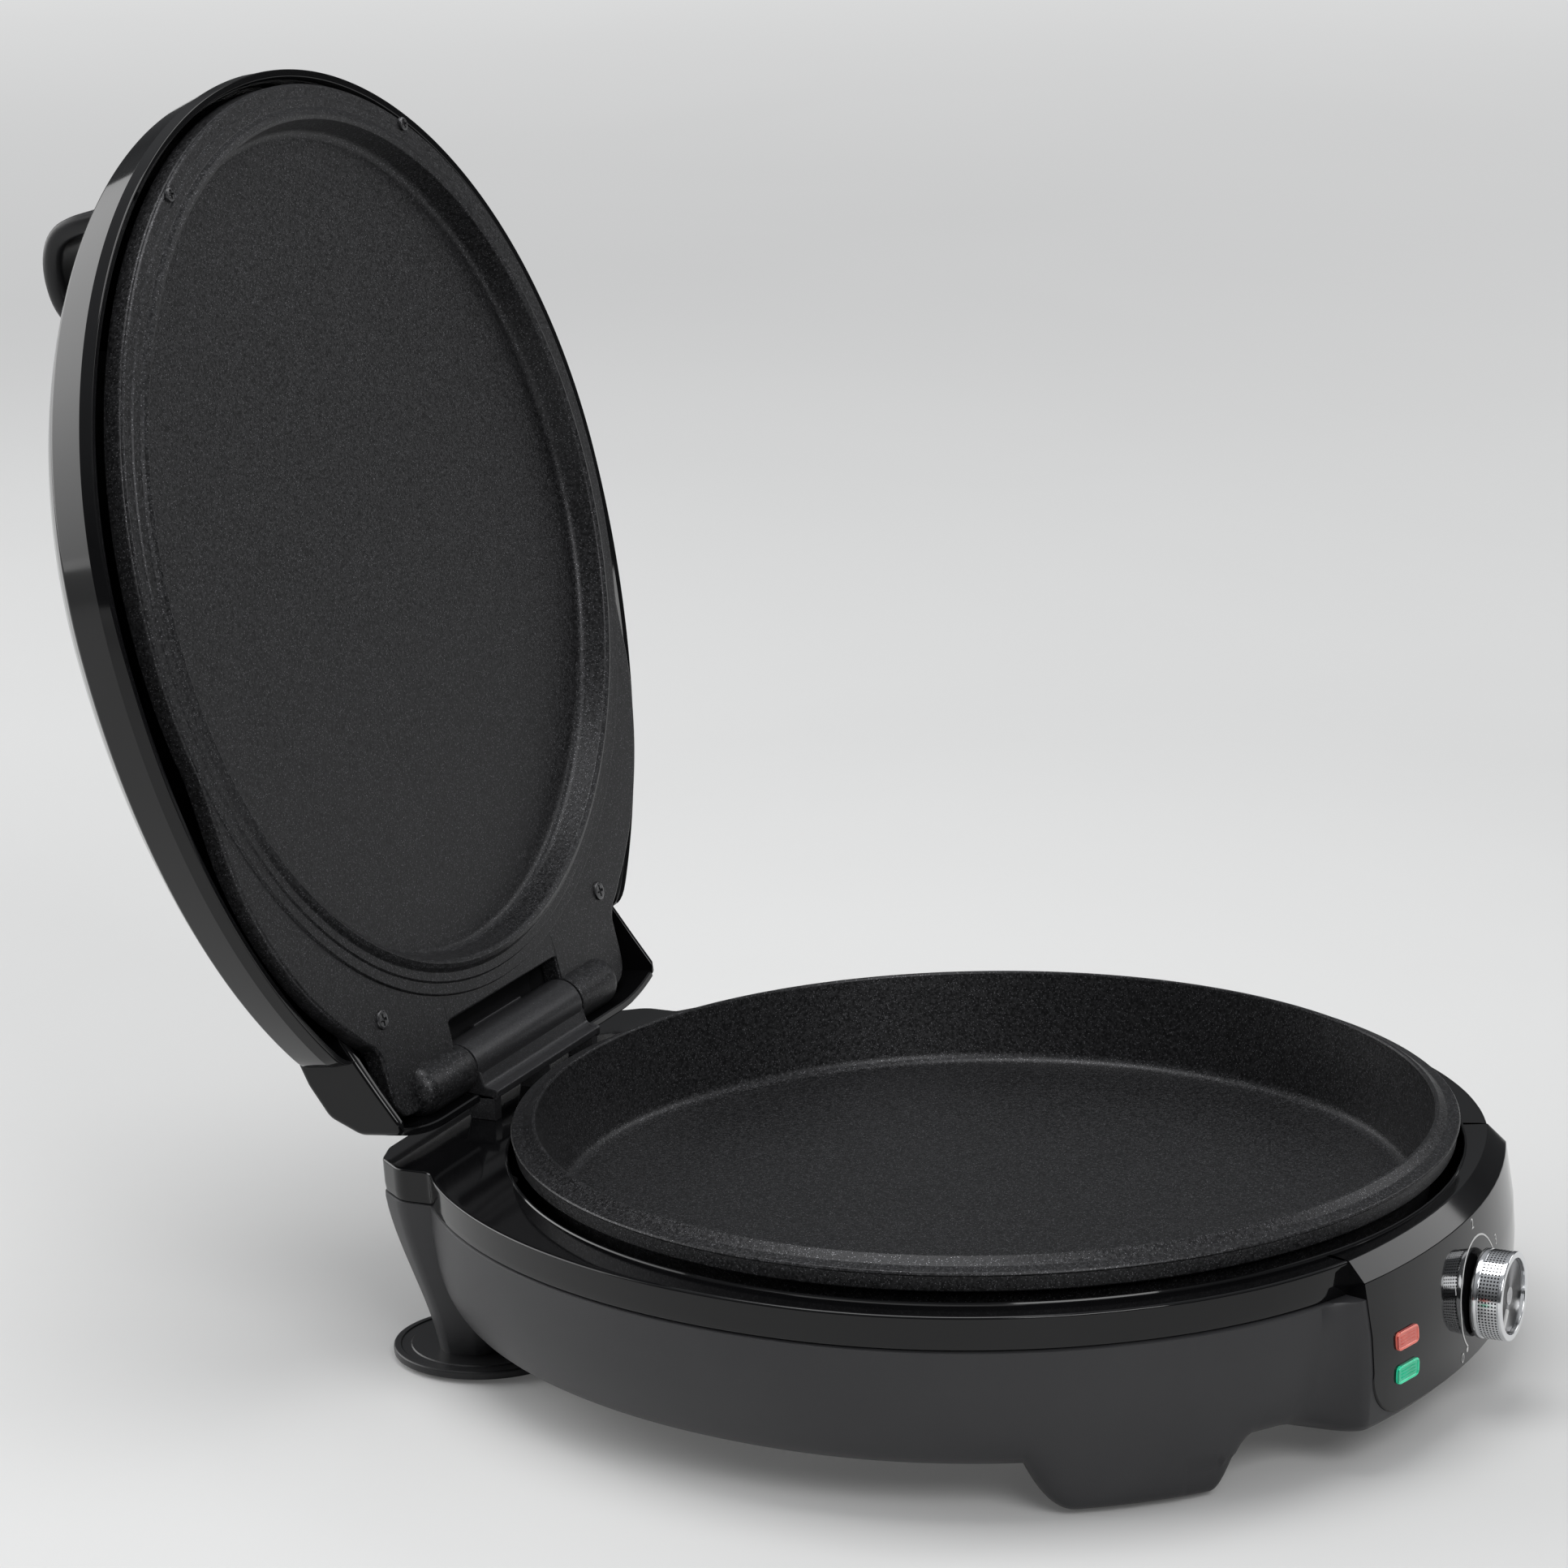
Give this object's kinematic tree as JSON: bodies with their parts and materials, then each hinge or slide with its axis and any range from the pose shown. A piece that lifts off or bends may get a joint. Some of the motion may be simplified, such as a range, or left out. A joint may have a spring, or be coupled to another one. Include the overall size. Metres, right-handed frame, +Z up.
{
  "type": "electric pizza maker",
  "caption": "Round countertop pizza maker with a deep heated pan, a rear-hinged domed lid shown open, a front control knob, indicator lenses and rear cord-wrap discs.",
  "frame": {"origin": "the middle of the part's box in plan, on the table plane", "axes": "+Z up, -Y towards the control fascia at the front, +Y towards the lid's hinge, +X to the user's right"},
  "size_m": [0.348, 0.5255, 0.4262],
  "materials": {
    "coated_plate": "non-stick coated, fine sparkle grain",
    "bracket_grey": "smooth coated casting",
    "gloss_black": "gloss",
    "satin_grey": "satin",
    "black_matte": "matte",
    "chrome_trim": "polished",
    "spun_dark": "spun, darkened",
    "white_mark": "white paint",
    "steel": "bright zinc",
    "element_tube": "heat-tinted",
    "shield_sheet": "mill",
    "ceramic": "off-white moulding",
    "red_lens": "tinted",
    "green_lens": "tinted",
    "rubber_pad": "matte"
  },
  "bodies": {
    "base": {"lower_pan": "coated_plate", "lower_element": "element_tube", "lower_element_clamps": "steel", "lower_heat_shield": "shield_sheet", "pan_screws": "steel", "base_housing": "satin_grey", "base_bezel": "gloss_black", "bottom_plate": "steel", "bottom_screws": "steel", "cord_disc_left": "black_matte", "cord_disc_right": "black_matte", "disc_screws": "steel", "foot_pads": "rubber_pad", "thermostat": "ceramic", "thermostat_bracket": "steel", "lamp_holder": "ceramic", "red_lens": "red_lens", "green_lens": "green_lens", "terminal_block": "ceramic", "thermal_fuse": "ceramic", "cord_inlet": "black_matte", "hinge_bracket": "bracket_grey", "hinge_pin": "steel"},
    "lid": {"lid_plate": "coated_plate", "lid_element": "element_tube", "lid_element_clamps": "steel", "lid_heat_shield": "shield_sheet", "lid_shell": "gloss_black", "hinge_plug": "coated_plate", "lid_rim_screws": "steel", "lid_neck_screws": "steel", "lid_handle": "black_matte", "handle_saddle": "black_matte", "handle_screws": "steel"},
    "knob": {"knob_sleeve": "chrome_trim", "knob_face": "spun_dark", "knob_pointer": "white_mark", "thermostat_shaft": "steel"}
  },
  "joints": [
    {"name": "lid_hinge", "type": "hinge", "parent": "base", "child": "lid", "pos_m": [0, 0.10504, 0.0896], "axis": [1, 0, 0], "range_deg": [0, 103.7]},
    {"name": "knob_turn", "type": "hinge", "parent": "base", "child": "knob", "pos_m": [0, -0.25146, 0.039], "axis": [0, 1, 0], "range_deg": [0, 270]}
  ]
}
